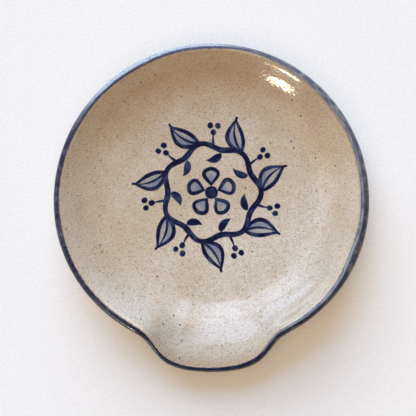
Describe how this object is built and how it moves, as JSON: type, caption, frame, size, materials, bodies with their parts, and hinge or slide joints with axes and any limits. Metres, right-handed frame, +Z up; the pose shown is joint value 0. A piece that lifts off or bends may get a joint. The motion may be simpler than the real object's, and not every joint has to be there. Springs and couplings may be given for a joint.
{
  "type": "spoon rest",
  "caption": "Round shallow stoneware dish with a lowered lip for a spoon's handle, speckled oatmeal glaze, dark blue rim and a painted wreath.",
  "frame": {"origin": "centre of the foot ring, on the table", "axes": "+Z up, -Y towards the handle lip, +X to the right seen from above with the lip towards the viewer"},
  "size_m": [0.1298, 0.1359, 0.0185],
  "materials": {
    "clay": "bare fired stoneware, matte",
    "oatmeal_glaze": "glossy speckled oatmeal glaze",
    "blue_band": "glossy dark blue glaze, brown where it is thin",
    "blue_line": "glossy painted brush lines",
    "blue_wash": "glossy thin painted wash"
  },
  "bodies": {
    "root": {"clay_body": "clay", "foot_ring": "clay", "inner_glaze": "oatmeal_glaze", "outer_glaze": "oatmeal_glaze", "rim_band": "blue_band", "painted_vine": "blue_line", "painted_leaves": "blue_line", "painted_buds": "blue_line", "painted_blossom": "blue_line", "painted_berries": "blue_line", "painted_washes": "blue_wash"}
  },
  "joints": []
}
